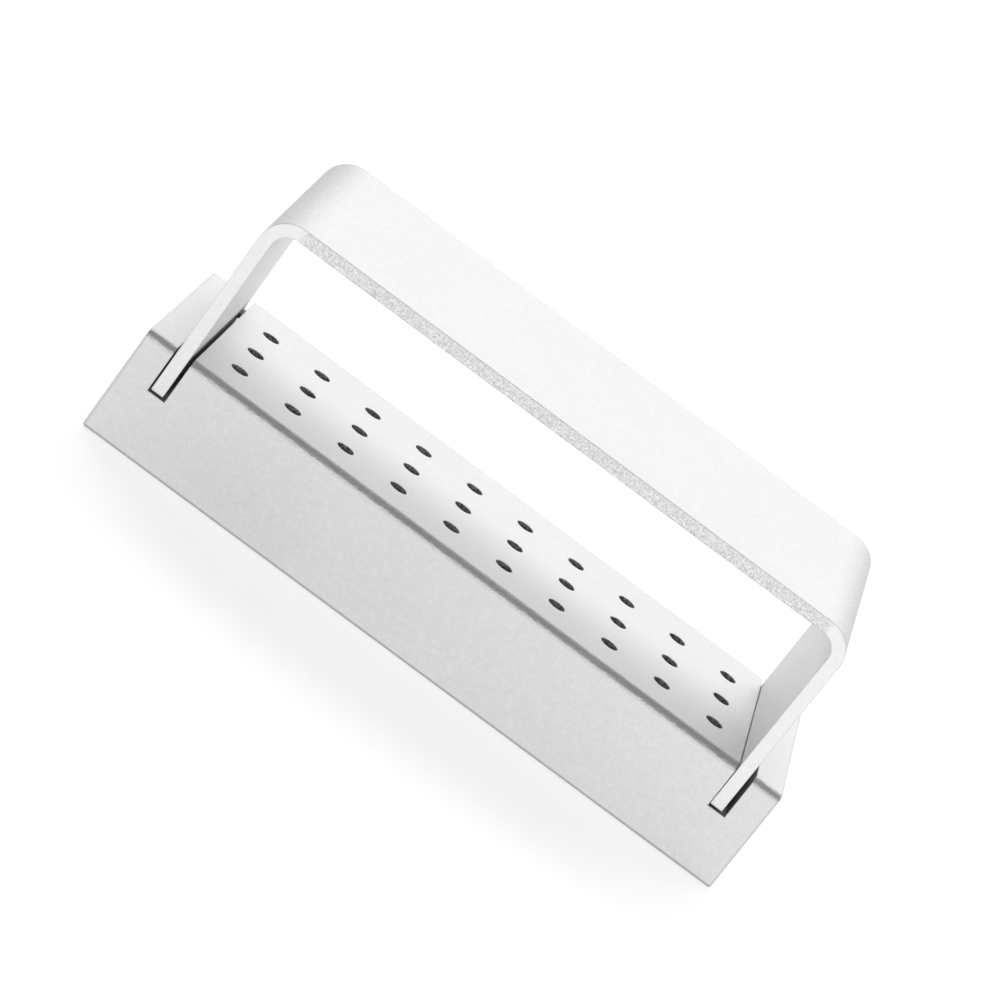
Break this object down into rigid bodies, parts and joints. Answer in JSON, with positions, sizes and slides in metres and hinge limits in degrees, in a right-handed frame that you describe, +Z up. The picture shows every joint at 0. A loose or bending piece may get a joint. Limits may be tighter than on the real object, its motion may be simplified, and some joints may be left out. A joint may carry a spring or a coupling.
{
  "type": "dental bur block",
  "caption": "Low aluminium block with rows of small blind holes that hold dental burs upright, under a hinged strap that swings back to open.",
  "frame": {"origin": "centre of the block's underside, on the surface that it stands on", "axes": "+Z up, +X along the rows of holes, +Y towards the back, where the cover is hinged"},
  "size_m": [0.075, 0.03, 0.0306],
  "materials": {
    "block_aluminium": "bead-blasted, silver anodised",
    "cover_aluminium": "bead-blasted, silver anodised",
    "pin_steel": "ground stainless"
  },
  "bodies": {
    "block": {"bur_block": "block_aluminium", "left_pivot_pin": "pin_steel", "right_pivot_pin": "pin_steel"},
    "cover": {"cover_strap": "cover_aluminium"}
  },
  "joints": [
    {"name": "cover_hinge", "type": "hinge", "parent": "block", "child": "cover", "pos_m": [0, 0.01101, 0.01085], "axis": [-1, 0, 0], "range_deg": [0, 107]}
  ]
}
